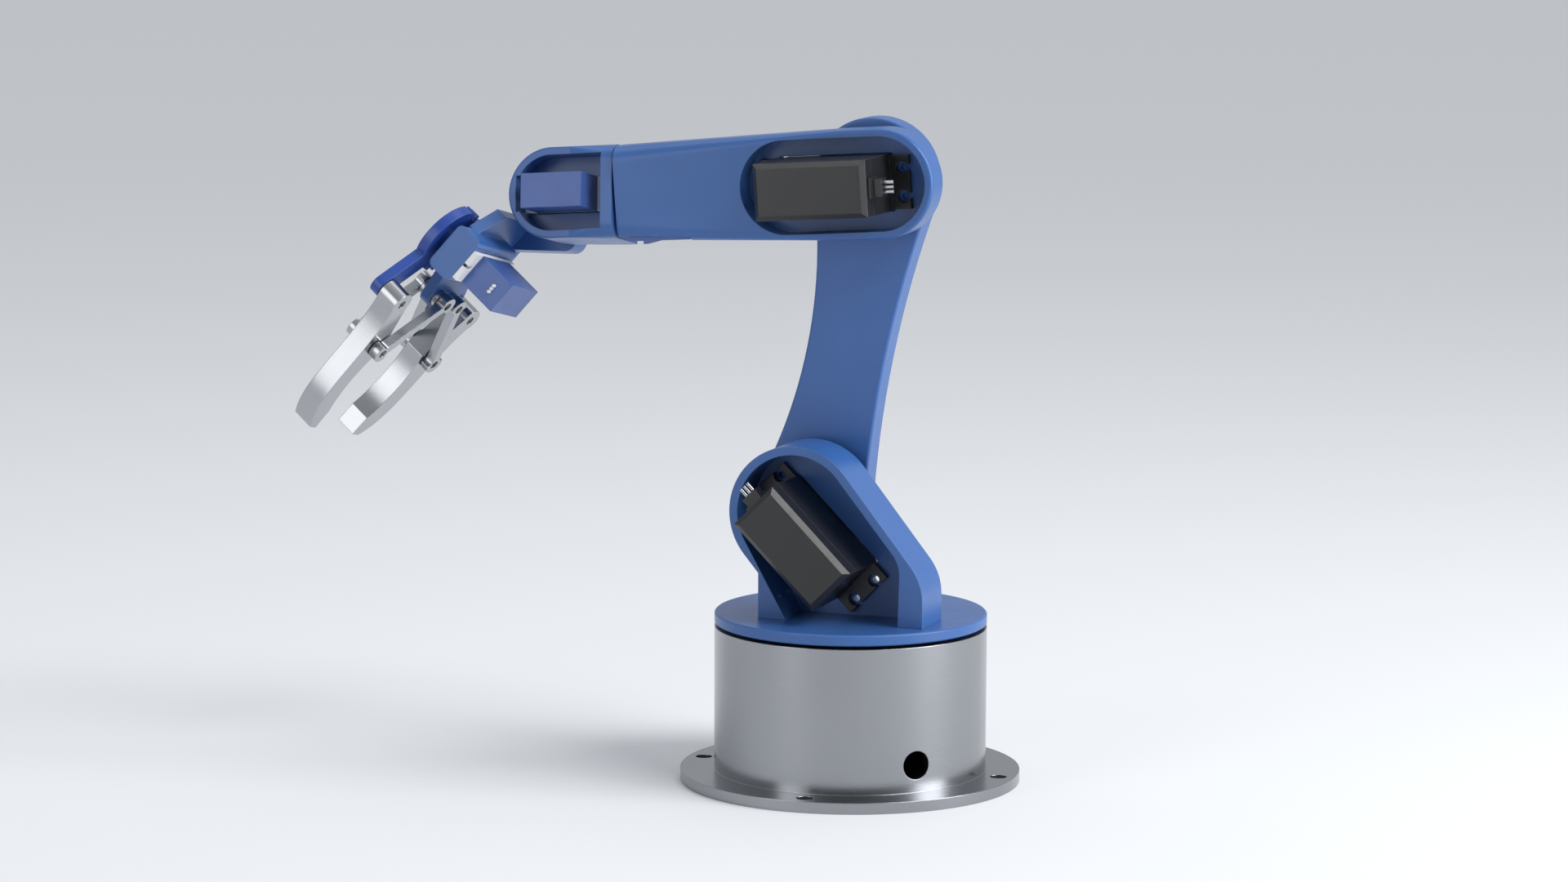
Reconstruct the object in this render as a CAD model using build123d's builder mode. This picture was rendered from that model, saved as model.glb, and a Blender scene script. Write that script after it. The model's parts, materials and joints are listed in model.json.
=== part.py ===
from build123d import *
import os
from math import atan, cos, pi, radians, sin, sqrt, tan

# Desktop robot arm with six powered joints: waist, shoulder, elbow, wrist roll, wrist pitch and
# gripper. Millimetres, +Z up, origin at the centre of the base's underside. The arm lies in a
# plane parallel to XZ with its gripper towards -X. Servo undersides face -Y.

# Pose in which the arm is modelled, in degrees
BASE_TURN = 2.5
UPPER_ARM_LEAN = 11.2
FOREARM_DROP = 4.0
WRIST_ROLL = 11.9
WRIST_PITCH = 46.35

# Joint places and link lengths
SHOULDER_X = -16.4
SHOULDER_SERVO_LIFT = 1.27205
SHOULDER_SERVO_TILT = 45.0
UPPER_ARM_LENGTH = 120.0
ELBOW_TO_PITCH_AXIS = 116.4
PITCH_AXIS_TO_GEARS = 35.2
PITCH_AXIS_ABOVE_FINGERS = 7.4

# Clearances
SERVO_FIT = 0.3
RUNNING_FIT = 0.05
BODY_GAP = 0.3

# Base housing
DRUM_R = 48.0
DRUM_WALL = 3.5
BASE_TOP = 55.0
BASE_ROOF = 3.5
FLANGE_W = 12.0
FLANGE_T = 4.0
FLANGE_HOLE_OUT = 6.3
FLANGE_HOLE_R = 3.0
FLANGE_HOLES = 4
CABLE_HOLE_R = 5.0
CABLE_HOLE_Z = 13.6
CABLE_HOLE_ANGLE = -45.0
HORN_WELL_R = 14.0
SERVO_POST_R = 3.6

# Turntable
TURNTABLE_GAP = 1.1
TURNTABLE_T = 3.9
TURNTABLE_R = 48.0
TURNTABLE_EDGE = 0.5

# Pedestal, a shallow pocket that opens towards -Y
PEDESTAL_DEPTH = 21.5
POCKET_FLOOR_Y = -7.7
POCKET_FLOOR_T = 3.7
PEDESTAL_HEAD_RIGHT = 3.8
PEDESTAL_HEAD_UP = 3.1
PEDESTAL_HEAD_R = 23.7
PEDESTAL_WALL = 3.0
PEDESTAL_LEFT = -25.5
PEDESTAL_RIGHT = 34.8
PEDESTAL_WAIST_Z = 76.0
FOOT_LEFT_WIDTH = 10.3
FOOT_RIGHT_WIDTH = 9.0
POCKET_SHOULDER_X = 26.5
POCKET_SHOULDER_Z = 82.0
POCKET_SHOULDER_R = 12.0
PEDESTAL_SHOULDER_R = 20.0
FOOT_SCREW_R = 1.5
FOOT_SCREW_HEAD_R = 2.8
FOOT_SCREW_HEAD_T = 2.0
FOOT_SCREW_REACH = 8.0
FOOT_SCREW_Y = (-11.0, -20.0)

# Standard servo
SERVO_L = 40.7
SERVO_W = 19.7
SERVO_SHAFT_INSET = 10.15
SERVO_COVER_T = 8.0
SERVO_EAR_Z = 27.8
SERVO_EAR_T = 2.5
SERVO_EAR_OUT = 6.9
SERVO_EAR_W = 18.8
SERVO_TOP_Z = 37.0
SERVO_EDGE = 1.8
SERVO_HOLE_OUT = 4.4
SERVO_HOLE_SPACING = 10.0
SERVO_HOLE_R = 2.2
SERVO_SLOT_W = 2.2
SERVO_SHAFT_R = 2.95
SERVO_SHAFT_TOP = 42.9
SERVO_SHAFT_SOCKET = 5.0
SERVO_SCREW_R = 1.25
LEAD_BLOCK_Z = 5.0
LEAD_BLOCK_T = 5.5
LEAD_BLOCK_W = 6.1
LEAD_BLOCK_OUT = 4.3
LEAD_LIP_W = 7.2
LEAD_LIP_OUT = 1.0
LEAD_LIP_T = 7.5
PIN_PITCH = 1.6
PIN_R = 0.6
PIN_OUT = 3.5
PIN_COUNT = 3

# Horn of a standard servo
HORN_R = 10.5
HORN_T = 2.2
HORN_HUB_R = 4.5
HORN_HUB_T = 2.7
HORN_SCREW_R = 1.5
HORN_SCREW_HEAD_R = 3.0
HORN_SCREW_HEAD_T = 2.5

# Upper arm
UPPER_ARM_NEAR_Y = 0.3
UPPER_ARM_T = 10.7
UPPER_ARM_SHOULDER_R = 21.0
UPPER_ARM_ELBOW_R = 22.0
UPPER_ARM_WAIST_BACK = 17.0
UPPER_ARM_WAIST_FRONT = 12.1
UPPER_ARM_EDGE = 1.0

# Forearm
FOREARM_MID_Y = -10.4
FOREARM_HEAD_DEPTH = 12.8
FOREARM_HEAD_R = 19.2
FOREARM_HEAD_OFFSET = 8.2
FOREARM_HEAD_EDGE = 1.4
FOREARM_BLEND = -4.0
FOREARM_FRONT_HEIGHT = 33.2
FOREARM_FRONT_DEPTH = 17.2
FOREARM_FRONT_EDGE = 6.0
FOREARM_WINDOW_R = 16.4
FOREARM_WINDOW_INSET = 11.35
ROLL_SERVO_RECESS = 3.5

# Micro servo
MICRO_L = 22.8
MICRO_W = 12.2
MICRO_SHAFT_INSET = 5.9
MICRO_EAR_Z = 15.5
MICRO_EAR_T = 1.9
MICRO_EAR_OUT = 4.75
MICRO_CASE_Z = 22.7
MICRO_TOWER_Z = 26.7
MICRO_TOWER_R = 5.7
MICRO_GEAR_BUMP_R = 2.9
MICRO_GEAR_BUMP_X = 6.2
MICRO_HOLE_OUT = 2.5
MICRO_HOLE_R = 1.0
MICRO_SLIT_W = 1.2
MICRO_SHAFT_R = 2.3
MICRO_SHAFT_SOCKET = 3.5
MICRO_SHAFT_REACH = 3.9
MICRO_PIN_Z = 5.0
MICRO_PIN_R = 0.6
MICRO_PIN_PITCH = 1.35
MICRO_PIN_OUT = 1.0
POCKET_MARGIN = 1.0
ROLL_EAR_CLIP = 1.1

# Horn of a micro servo
MICRO_HORN_R = 3.4
MICRO_HORN_T = 1.6
MICRO_HORN_SPAN = 18.0
MICRO_HORN_END_R = 2.0
MICRO_HORN_HUB_T = 2.0

# Yoke between wrist roll and wrist pitch
YOKE_GAP = 1.0
YOKE_END_FIT = 0.35
YOKE_BACK_T = 4.4
YOKE_NEAR = 6.4
YOKE_FAR = 16.3
YOKE_RIM_R = 16.2
YOKE_RIM_WALL = 2.8
YOKE_RIM_OFFSET = 2.3
YOKE_BLEND = 9.5
YOKE_EDGE = 0.8
PITCH_SERVO_OUT = 14.0

# Gripper base
WEB_GAP = 0.5
WEB_T = 9.5
WEB_BOSS_R = 10.2
WEB_CORNER_R = 4.5
WEB_CORNER_X = 11.0
WEB_CORNER_Y = 8.3
WEB_ROOT_Y = -7.0
BLOCK_LEFT = -9.6
TAIL_T = 4.4
SHOULDER_RIGHT = 15.6
SHOULDER_CORNER = 6.2
SHOULDER_BACK = -19.0
BLOCK_RIGHT = 23.2
BLOCK_BACK = -9.8
BLOCK_FRONT = 8.8
BLOCK_EDGE = 2.4
NOSE_T = 4.0
NOSE_ROOT_W = 28.0
NOSE_TIP_R = 4.6
GRIP_SERVO_Z = 26.1

# Gripper linkage, seen along the hinges
GEAR_PITCH_R = 12.5
GEAR_TEETH = 20
GEAR_PRESSURE_ANGLE = 20.0
GEAR_BACKLASH = 0.35
TOOTH_ADDENDUM = 0.85
TOOTH_DEDENDUM = 1.25
GEAR_T = 3.8
GEAR_GAP = 0.7
GEAR_RIM_R = 13.4
GEAR_HUB_R = 5.0
TOOTH_COUNT = 11
ARM_LENGTH = 30.0
ARM_SPREAD = 34.8
ARM_W = 8.0
NOSE_PIVOT_X = 5.0
NOSE_PIVOT_Y = 19.1
LINK_W = 7.4
LINK_BAR_W = 3.4
LINK_NECK = 2.8
LINK_T = 3.4
HINGE_PIN_R = 1.6
PIN_RECESS = 1.0
BUSH_R = 3.4
DRIVEN_PIN_R = 2.5
DRIVEN_PIN_SINK = 3.2

# Fingers, measured across from the gripper's middle and forward from the gears' axes
FINGER_T = 8.0
FINGER_EYE_R = 4.6
FINGER_KINK_X = 16.8
FINGER_KINK_Y = 43.5
FINGER_HOLLOW_X = 19.1
FINGER_HOLLOW_Y = 62.0
FINGER_PAD_X = 16.0
FINGER_PAD_Y = 74.0
FINGER_TIP_INNER = 15.6
FINGER_TIP_OUTER = 20.0
FINGER_TIP_Y = 81.8
FINGER_BROW_X = 26.6
FINGER_BROW_Y = 72.0
FINGER_BACK_X = 28.7
FINGER_BACK_Y = 57.0
FINGER_HIP_X = 29.9
FINGER_HIP_Y = 39.0

os.makedirs("parts", exist_ok=True)


def save(item, name):
    """Labels a finished piece and writes it to its own file."""
    item.part.label = name
    export_step(item.part, f"parts/{name}.step")


def across(plane, x):
    """Plane square to a plane's own X, at a distance along it."""
    place = plane.from_local_coords((x, 0, 0))
    return Plane(origin=place, x_dir=plane.y_dir, z_dir=plane.x_dir)


# Standard servo seen from its shaft
servo_mid = SERVO_L / 2 - SERVO_SHAFT_INSET
servo_ear_span = SERVO_L + 2 * SERVO_EAR_OUT
servo_hole_span = SERVO_L + 2 * SERVO_HOLE_OUT
servo_ear_reach = servo_mid + servo_ear_span / 2

# Heights in the base
turntable_z = BASE_TOP + TURNTABLE_GAP
turntable_top = turntable_z + TURNTABLE_T
waist_horn_z = turntable_z - HORN_T
waist_servo_z = waist_horn_z - HORN_HUB_T - SERVO_TOP_Z - RUNNING_FIT
WAIST_SERVO = Plane.XY.offset(waist_servo_z)

# The shoulder servo's lowest ear corner clears the turntable
tilt = radians(SHOULDER_SERVO_TILT)
ear_corner_drop = servo_ear_reach * sin(tilt) + SERVO_EAR_W / 2 * cos(tilt)
shoulder_z = turntable_top + SHOULDER_SERVO_LIFT + ear_corner_drop

# Frames of the moving bodies
lean = radians(UPPER_ARM_LEAN)
drop = radians(FOREARM_DROP)
roll = radians(WRIST_ROLL)
pitch = radians(WRIST_PITCH)
elbow_x = SHOULDER_X + UPPER_ARM_LENGTH * sin(lean)
elbow_z = shoulder_z + UPPER_ARM_LENGTH * cos(lean)
UPPER = Plane(
    origin=(SHOULDER_X, UPPER_ARM_NEAR_Y, shoulder_z),
    x_dir=(cos(lean), 0, -sin(lean)),
    z_dir=(0, -1, 0),
)
FORE = Plane(
    origin=(elbow_x, FOREARM_MID_Y, elbow_z),
    x_dir=(cos(drop), 0, sin(drop)),
    z_dir=(0, -1, 0),
)
pitch_point = FORE.from_local_coords((-ELBOW_TO_PITCH_AXIS, 0, 0))
up = FORE.y_dir
near = FORE.z_dir
pitch_dir = near * cos(roll) + up * sin(roll)
WRIST = Plane(origin=pitch_point, x_dir=FORE.x_dir, z_dir=pitch_dir)
forward = WRIST.x_dir * -cos(pitch) + WRIST.y_dir * -sin(pitch)
WEB = Plane(origin=pitch_point, x_dir=forward, z_dir=pitch_dir)
hinge_dir = WEB.y_dir
grip_point = WEB.from_local_coords((PITCH_AXIS_TO_GEARS, -PITCH_AXIS_ABOVE_FINGERS, 0))
GRIP = Plane(origin=grip_point, x_dir=pitch_dir, z_dir=hinge_dir)

# The pitch servo's ear sets where the yoke's back and, past it, the forearm's front end stand
yoke_inner_x = MICRO_L - MICRO_SHAFT_INSET + MICRO_EAR_OUT + YOKE_END_FIT
yoke_back_x = yoke_inner_x + YOKE_BACK_T
forearm_front_x = yoke_back_x + YOKE_GAP - ELBOW_TO_PITCH_AXIS

servo_bottom_y = POCKET_FLOOR_Y - SERVO_EAR_T - SERVO_EAR_Z
SHOULDER_SERVO = Plane(
    origin=(SHOULDER_X, servo_bottom_y, shoulder_z),
    x_dir=(cos(tilt), 0, -sin(tilt)),
    z_dir=(0, 1, 0),
)
ELBOW_SERVO = Plane(
    origin=(elbow_x, servo_bottom_y, elbow_z), x_dir=-FORE.x_dir, z_dir=(0, 1, 0)
)


# Standard servo
def servo_lower_case(plane, name):
    with BuildPart() as case:
        with BuildSketch(plane):
            with Locations((servo_mid, 0)):
                Rectangle(SERVO_L, SERVO_W)
        extrude(amount=SERVO_COVER_T)
        bottom = case.faces().filter_by(plane).sort_by(Axis(plane.origin, plane.z_dir))[0]
        chamfer(bottom.edges(), SERVO_EDGE)
    save(case, name)


def servo_middle_case(plane, name):
    body_top = SERVO_EAR_Z + SERVO_EAR_T
    with BuildPart() as case:
        with BuildSketch(plane.offset(SERVO_COVER_T)):
            with Locations((servo_mid, 0)):
                Rectangle(SERVO_L, SERVO_W)
        extrude(amount=body_top - SERVO_COVER_T)
        with BuildSketch(plane.offset(SERVO_EAR_Z)):
            with Locations((servo_mid, 0)):
                Rectangle(servo_ear_span, SERVO_EAR_W)
                with GridLocations(servo_hole_span, SERVO_HOLE_SPACING, 2, 2):
                    Circle(SERVO_HOLE_R, mode=Mode.SUBTRACT)
                slot_reach = servo_ear_span - servo_hole_span
                with GridLocations(servo_ear_span, SERVO_HOLE_SPACING, 2, 2):
                    Rectangle(slot_reach, SERVO_SLOT_W, mode=Mode.SUBTRACT)
        extrude(amount=SERVO_EAR_T)
    save(case, name)


def servo_top_case(plane, name):
    with BuildPart() as case:
        with BuildSketch(plane.offset(SERVO_EAR_Z + SERVO_EAR_T)):
            with Locations((servo_mid, 0)):
                RectangleRounded(SERVO_L, SERVO_W, SERVO_EDGE)
        extrude(amount=SERVO_TOP_Z - SERVO_EAR_Z - SERVO_EAR_T)
        with BuildSketch(plane.offset(SERVO_TOP_Z - SERVO_SHAFT_SOCKET)):
            Circle(SERVO_SHAFT_R + RUNNING_FIT)
        extrude(amount=SERVO_SHAFT_SOCKET, mode=Mode.SUBTRACT)
    save(case, name)


def servo_lead_block(plane, name):
    with BuildPart() as block:
        with BuildSketch(plane.offset(LEAD_BLOCK_Z)):
            with Locations((-SERVO_SHAFT_INSET - LEAD_BLOCK_OUT / 2, 0)):
                Rectangle(LEAD_BLOCK_OUT, LEAD_BLOCK_W)
        extrude(amount=LEAD_BLOCK_T)
        with BuildSketch(plane.offset(LEAD_BLOCK_Z - (LEAD_LIP_T - LEAD_BLOCK_T))):
            with Locations((-SERVO_SHAFT_INSET - LEAD_LIP_OUT / 2, 0)):
                Rectangle(LEAD_LIP_OUT, LEAD_LIP_W)
        extrude(amount=LEAD_LIP_T)
    save(block, name)


def pin_row(plane, name, x, z, pitch_w, radius, reach):
    """Three bare pins that stand out of a servo's end face."""
    with BuildPart() as pins:
        end = Plane(
            origin=plane.from_local_coords((x, 0, z)), x_dir=plane.y_dir, z_dir=-plane.x_dir
        )
        with BuildSketch(end):
            with GridLocations(pitch_w, pitch_w, PIN_COUNT, 1):
                Circle(radius)
        extrude(amount=reach)
    save(pins, name)


def micro_pins(plane, name):
    pin_row(plane, name, -MICRO_SHAFT_INSET, MICRO_PIN_Z, MICRO_PIN_PITCH, MICRO_PIN_R, MICRO_PIN_OUT)


def servo_shaft(plane, name):
    with BuildPart() as shaft:
        with BuildSketch(plane.offset(SERVO_TOP_Z - SERVO_SHAFT_SOCKET + BODY_GAP)):
            Circle(SERVO_SHAFT_R)
        extrude(amount=SERVO_SHAFT_TOP - SERVO_TOP_Z + SERVO_SHAFT_SOCKET - BODY_GAP)
    save(shaft, name)


def servo_horn(plane, name, seat_z, hub_sign):
    """Round horn whose plate starts at seat_z and whose hub stands off it by hub_sign."""
    with BuildPart() as horn:
        with BuildSketch(plane.offset(seat_z)):
            Circle(HORN_R)
        extrude(amount=HORN_T)
        hub_z = seat_z + HORN_T if hub_sign > 0 else seat_z - HORN_HUB_T
        with BuildSketch(plane.offset(hub_z)):
            Circle(HORN_HUB_R)
        extrude(amount=HORN_HUB_T)
        with BuildSketch(plane.offset(seat_z - HORN_HUB_T)):
            Circle(SERVO_SHAFT_R)
        extrude(amount=HORN_T + 2 * HORN_HUB_T, mode=Mode.SUBTRACT)
    save(horn, name)


# Micro servo
micro_mid = MICRO_L / 2 - MICRO_SHAFT_INSET
micro_ear_span = MICRO_L + 2 * MICRO_EAR_OUT
micro_hole_span = MICRO_L + 2 * MICRO_HOLE_OUT


def micro_lower_case(plane, name):
    with BuildPart() as case:
        with BuildSketch(plane):
            with Locations((micro_mid, 0)):
                Rectangle(MICRO_L, MICRO_W)
        extrude(amount=MICRO_EAR_Z)
    save(case, name)


def micro_ear_plate(plane, name, clip=0.0):
    """Plate with two ears. A clip shortens the ear at the far end from the shaft."""
    with BuildPart() as ears:
        with BuildSketch(plane.offset(MICRO_EAR_Z)):
            with Locations((micro_mid, 0)):
                Rectangle(micro_ear_span, MICRO_W)
                with GridLocations(micro_hole_span, micro_hole_span, 2, 1):
                    Circle(MICRO_HOLE_R, mode=Mode.SUBTRACT)
                slit = micro_ear_span - micro_hole_span
                with GridLocations(micro_ear_span, micro_ear_span, 2, 1):
                    Rectangle(slit, MICRO_SLIT_W, mode=Mode.SUBTRACT)
            if clip:
                far_end = MICRO_L - MICRO_SHAFT_INSET + clip
                with Locations((far_end + MICRO_EAR_OUT / 2, 0)):
                    Rectangle(MICRO_EAR_OUT, MICRO_W, mode=Mode.SUBTRACT)
        extrude(amount=MICRO_EAR_T)
    save(ears, name)


def micro_top_case(plane, name):
    with BuildPart() as case:
        with BuildSketch(plane.offset(MICRO_EAR_Z + MICRO_EAR_T)):
            with Locations((micro_mid, 0)):
                Rectangle(MICRO_L, MICRO_W)
        extrude(amount=MICRO_CASE_Z - MICRO_EAR_Z - MICRO_EAR_T)
        with BuildSketch(plane.offset(MICRO_CASE_Z)):
            Circle(MICRO_TOWER_R)
            with Locations((MICRO_GEAR_BUMP_X, 0)):
                Circle(MICRO_GEAR_BUMP_R)
        extrude(amount=MICRO_TOWER_Z - MICRO_CASE_Z)
        with BuildSketch(plane.offset(MICRO_TOWER_Z - MICRO_SHAFT_SOCKET)):
            Circle(MICRO_SHAFT_R + RUNNING_FIT)
        extrude(amount=MICRO_SHAFT_SOCKET, mode=Mode.SUBTRACT)
    save(case, name)


def micro_shaft(plane, name, reach=MICRO_SHAFT_REACH):
    with BuildPart() as shaft:
        with BuildSketch(plane.offset(MICRO_TOWER_Z - MICRO_SHAFT_SOCKET + BODY_GAP)):
            Circle(MICRO_SHAFT_R)
        extrude(amount=MICRO_SHAFT_SOCKET - BODY_GAP + reach)
    save(shaft, name)


def micro_horn(plane, name):
    """Two-armed horn, its arms next to the servo and its hub pointing away."""
    with BuildPart() as horn:
        with BuildSketch(plane.offset(MICRO_TOWER_Z + BODY_GAP)):
            Circle(MICRO_HORN_R)
            SlotOverall(MICRO_HORN_SPAN, 2 * MICRO_HORN_END_R)
        extrude(amount=MICRO_HORN_T)
        with BuildSketch(plane.offset(MICRO_TOWER_Z + BODY_GAP + MICRO_HORN_T)):
            Circle(MICRO_HORN_R)
        extrude(amount=MICRO_HORN_HUB_T)
        with BuildSketch(plane.offset(MICRO_TOWER_Z)):
            Circle(MICRO_SHAFT_R)
        extrude(amount=MICRO_SHAFT_REACH, mode=Mode.SUBTRACT)
    save(horn, name)


def micro_pocket(span=MICRO_L):
    """Outline with clearance round a micro servo's case or ears, in the sketch that is open."""
    with Locations((micro_mid, 0)):
        Rectangle(span + 2 * SERVO_FIT, MICRO_W + 2 * SERVO_FIT)


def micro_ear_holes():
    with Locations((micro_mid, 0)):
        with GridLocations(micro_hole_span, micro_hole_span, 2, 1):
            Circle(MICRO_HOLE_R)


# Base housing: flange, drum and roof in one piece, with posts for the waist servo
ear_top = waist_servo_z + SERVO_EAR_Z + SERVO_EAR_T
with BuildPart() as base_housing:
    with BuildSketch(Plane.XY):
        Circle(DRUM_R + FLANGE_W)
    extrude(amount=FLANGE_T)
    with BuildSketch(Plane.XY.offset(FLANGE_T)):
        Circle(DRUM_R)
    extrude(amount=BASE_TOP - FLANGE_T)
    with BuildSketch(Plane.XY):
        Circle(DRUM_R - DRUM_WALL)
    extrude(amount=BASE_TOP - BASE_ROOF, mode=Mode.SUBTRACT)
    with BuildSketch(Plane.XY.offset(ear_top)):
        with Locations((servo_mid, 0)):
            with GridLocations(servo_hole_span, SERVO_HOLE_SPACING, 2, 2):
                Circle(SERVO_POST_R)
    extrude(amount=BASE_TOP - BASE_ROOF - ear_top)
    with BuildSketch(Plane.XY.offset(ear_top)):
        with Locations((servo_mid, 0)):
            with GridLocations(servo_hole_span, SERVO_HOLE_SPACING, 2, 2):
                Circle(SERVO_SCREW_R)
    extrude(amount=SERVO_SHAFT_SOCKET, mode=Mode.SUBTRACT)
    with BuildSketch(Plane.XY.offset(BASE_TOP - BASE_ROOF)):
        Circle(HORN_WELL_R)
    extrude(amount=BASE_ROOF, mode=Mode.SUBTRACT)
    with BuildSketch(Plane.XY):
        with PolarLocations(DRUM_R + FLANGE_HOLE_OUT, FLANGE_HOLES, start_angle=BASE_TURN):
            Circle(FLANGE_HOLE_R)
    extrude(amount=FLANGE_T, mode=Mode.SUBTRACT)
    cable_angle = radians(CABLE_HOLE_ANGLE + BASE_TURN)
    cable_dir = (cos(cable_angle), sin(cable_angle), 0)
    with BuildSketch(Plane(origin=(0, 0, CABLE_HOLE_Z), x_dir=(0, 0, 1), z_dir=cable_dir)):
        Circle(CABLE_HOLE_R)
    extrude(amount=DRUM_R, mode=Mode.SUBTRACT)
save(base_housing, "base_housing")

servo_lower_case(WAIST_SERVO, "waist_servo_lower_case")
servo_middle_case(WAIST_SERVO, "waist_servo_middle_case")
servo_top_case(WAIST_SERVO, "waist_servo_top_case")

# Four screws that hold the waist servo up against its posts
with BuildPart() as waist_servo_screws:
    ear_bottom = waist_servo_z + SERVO_EAR_Z
    with BuildSketch(Plane.XY.offset(ear_bottom - FOOT_SCREW_HEAD_T)):
        with Locations((servo_mid, 0)):
            with GridLocations(servo_hole_span, SERVO_HOLE_SPACING, 2, 2):
                Circle(FOOT_SCREW_HEAD_R)
    extrude(amount=FOOT_SCREW_HEAD_T)
    with BuildSketch(Plane.XY.offset(ear_bottom)):
        with Locations((servo_mid, 0)):
            with GridLocations(servo_hole_span, SERVO_HOLE_SPACING, 2, 2):
                Circle(SERVO_SCREW_R)
    extrude(amount=SERVO_EAR_T + SERVO_SHAFT_SOCKET)
save(waist_servo_screws, "waist_servo_screws")

# Waist: shaft, horn, turntable and pedestal turn together
servo_shaft(WAIST_SERVO, "waist_output_shaft")
servo_horn(WAIST_SERVO, "waist_horn", waist_horn_z - waist_servo_z, -1)

foot_left_x = PEDESTAL_LEFT + FOOT_LEFT_WIDTH / 2
foot_right_x = PEDESTAL_RIGHT - FOOT_RIGHT_WIDTH / 2
foot_screw_places = [(x, y) for x in (foot_left_x, foot_right_x) for y in FOOT_SCREW_Y]
with BuildPart() as turntable:
    with BuildSketch(Plane.XY.offset(turntable_z)):
        Circle(TURNTABLE_R)
    extrude(amount=TURNTABLE_T)
    chamfer(turntable.edges().filter_by(GeomType.CIRCLE), TURNTABLE_EDGE)
    with BuildSketch(Plane.XY.offset(turntable_z)):
        with Locations(*foot_screw_places):
            Circle(FOOT_SCREW_HEAD_R)
    extrude(amount=FOOT_SCREW_HEAD_T, mode=Mode.SUBTRACT)
    with BuildSketch(Plane.XY.offset(turntable_z)):
        with Locations(*foot_screw_places):
            Circle(FOOT_SCREW_R)
        Circle(SERVO_SHAFT_R)
    extrude(amount=TURNTABLE_T, mode=Mode.SUBTRACT)
save(turntable, "turntable")

PEDESTAL_BACK = Plane.XZ.offset(-(POCKET_FLOOR_Y + POCKET_FLOOR_T))
POCKET_FLOOR = Plane.XZ.offset(-POCKET_FLOOR_Y)
pocket_head_r = PEDESTAL_HEAD_R - PEDESTAL_WALL
pedestal_head = (SHOULDER_X + PEDESTAL_HEAD_RIGHT, shoulder_z + PEDESTAL_HEAD_UP)
with BuildPart() as pedestal:
    foot_height = PEDESTAL_WAIST_Z - turntable_top
    foot_mid_z = turntable_top + foot_height / 2
    with BuildSketch(PEDESTAL_BACK):
        with Locations(pedestal_head):
            Circle(PEDESTAL_HEAD_R)
        with BuildLine():
            Line((PEDESTAL_LEFT, PEDESTAL_WAIST_Z), (PEDESTAL_RIGHT, PEDESTAL_WAIST_Z))
        make_hull()
        with Locations(((PEDESTAL_LEFT + PEDESTAL_RIGHT) / 2, foot_mid_z)):
            Rectangle(PEDESTAL_RIGHT - PEDESTAL_LEFT, foot_height)
    extrude(amount=PEDESTAL_DEPTH)
    side_edges = pedestal.edges().filter_by(Axis.Y)
    right_corner = side_edges.group_by(Axis.X)[-1].sort_by(Axis.Z)[-1]
    fillet(right_corner, PEDESTAL_SHOULDER_R)
    with BuildSketch(POCKET_FLOOR):
        with Locations(pedestal_head):
            Circle(pocket_head_r)
        with BuildLine():
            Polyline(
                (PEDESTAL_LEFT + FOOT_LEFT_WIDTH, turntable_top),
                (PEDESTAL_RIGHT - FOOT_RIGHT_WIDTH, turntable_top),
                (POCKET_SHOULDER_X, POCKET_SHOULDER_Z),
            )
        make_hull()
        corner = vertices().sort_by_distance((POCKET_SHOULDER_X, POCKET_SHOULDER_Z))[0]
        fillet(corner, POCKET_SHOULDER_R)
    extrude(amount=PEDESTAL_DEPTH, mode=Mode.SUBTRACT)
    with BuildSketch(SHOULDER_SERVO.offset(SERVO_EAR_Z - SERVO_FIT)):
        with Locations((servo_mid, 0)):
            Rectangle(servo_ear_span + 2 * SERVO_FIT, SERVO_EAR_W + 2 * SERVO_FIT)
    extrude(amount=SERVO_EAR_T + SERVO_FIT, mode=Mode.SUBTRACT)
    with BuildSketch(SHOULDER_SERVO.offset(SERVO_EAR_Z)):
        with Locations((servo_mid, 0)):
            Rectangle(SERVO_L + 2 * SERVO_FIT, SERVO_W + 2 * SERVO_FIT)
            with GridLocations(servo_hole_span, SERVO_HOLE_SPACING, 2, 2):
                Circle(SERVO_SCREW_R)
    extrude(amount=SERVO_TOP_Z - SERVO_EAR_Z, mode=Mode.SUBTRACT)
    with BuildSketch(Plane.XY.offset(turntable_top)):
        with Locations(*foot_screw_places):
            Circle(FOOT_SCREW_R)
    extrude(amount=FOOT_SCREW_REACH, mode=Mode.SUBTRACT)
save(pedestal, "pedestal")

with BuildPart() as pedestal_screws:
    with BuildSketch(Plane.XY.offset(turntable_z)):
        with Locations(*foot_screw_places):
            Circle(FOOT_SCREW_HEAD_R)
    extrude(amount=FOOT_SCREW_HEAD_T)
    with BuildSketch(Plane.XY.offset(turntable_z + FOOT_SCREW_HEAD_T)):
        with Locations(*foot_screw_places):
            Circle(FOOT_SCREW_R)
    extrude(amount=TURNTABLE_T - FOOT_SCREW_HEAD_T + FOOT_SCREW_REACH)
save(pedestal_screws, "pedestal_screws")

servo_lower_case(SHOULDER_SERVO, "shoulder_servo_lower_case")
servo_middle_case(SHOULDER_SERVO, "shoulder_servo_middle_case")
servo_top_case(SHOULDER_SERVO, "shoulder_servo_top_case")
servo_lead_block(SHOULDER_SERVO, "shoulder_servo_lead_block")
pin_z = LEAD_BLOCK_Z + LEAD_BLOCK_T / 2
pin_x = -SERVO_SHAFT_INSET - LEAD_BLOCK_OUT
pin_row(SHOULDER_SERVO, "shoulder_servo_pins", pin_x, pin_z, PIN_PITCH, PIN_R, PIN_OUT)

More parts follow.
